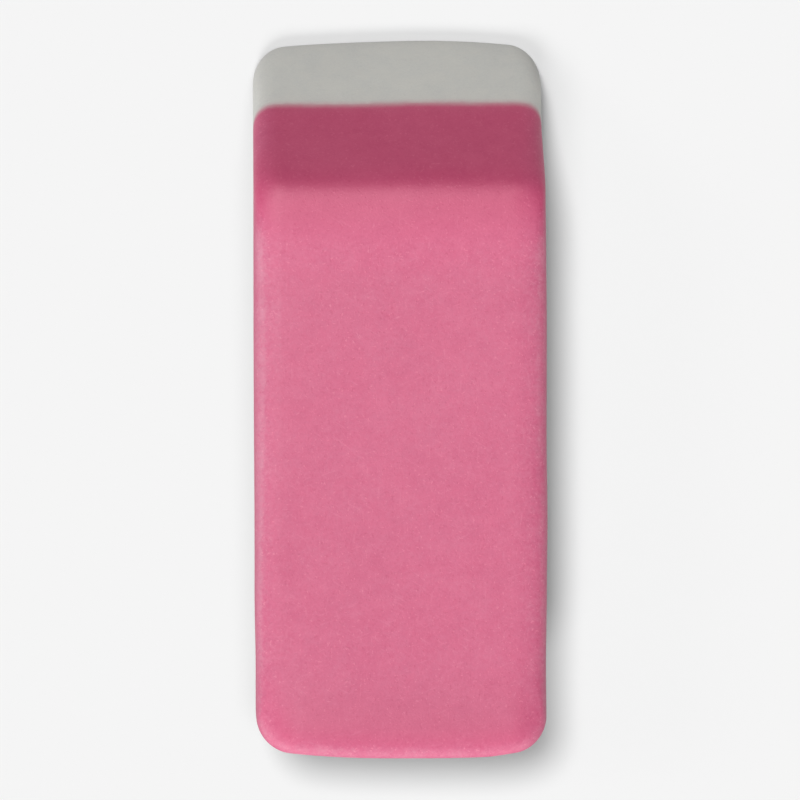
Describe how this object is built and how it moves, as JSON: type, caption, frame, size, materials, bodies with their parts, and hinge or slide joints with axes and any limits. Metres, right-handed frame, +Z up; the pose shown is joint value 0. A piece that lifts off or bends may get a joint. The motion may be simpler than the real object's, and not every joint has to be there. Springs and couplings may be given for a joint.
{
  "type": "bevelled block eraser",
  "caption": "Block eraser with slanting ends and softly rounded edges, a pink rubber layer bonded on top of an off-white one.",
  "frame": {"origin": "centre of the bounding box's bottom, on the surface that the eraser lies on", "axes": "+X across the width, +Y along the length towards the tip that lies on the surface, +Z up through the white layer and then the pink"},
  "size_m": [0.022, 0.0546, 0.012],
  "materials": {
    "pink_rubber": "matte, tumbled, with a fine pale grain",
    "white_rubber": "matte, tumbled, faintly grained off-white"
  },
  "bodies": {
    "root": {"pink_layer": "pink_rubber", "white_layer": "white_rubber"}
  },
  "joints": []
}
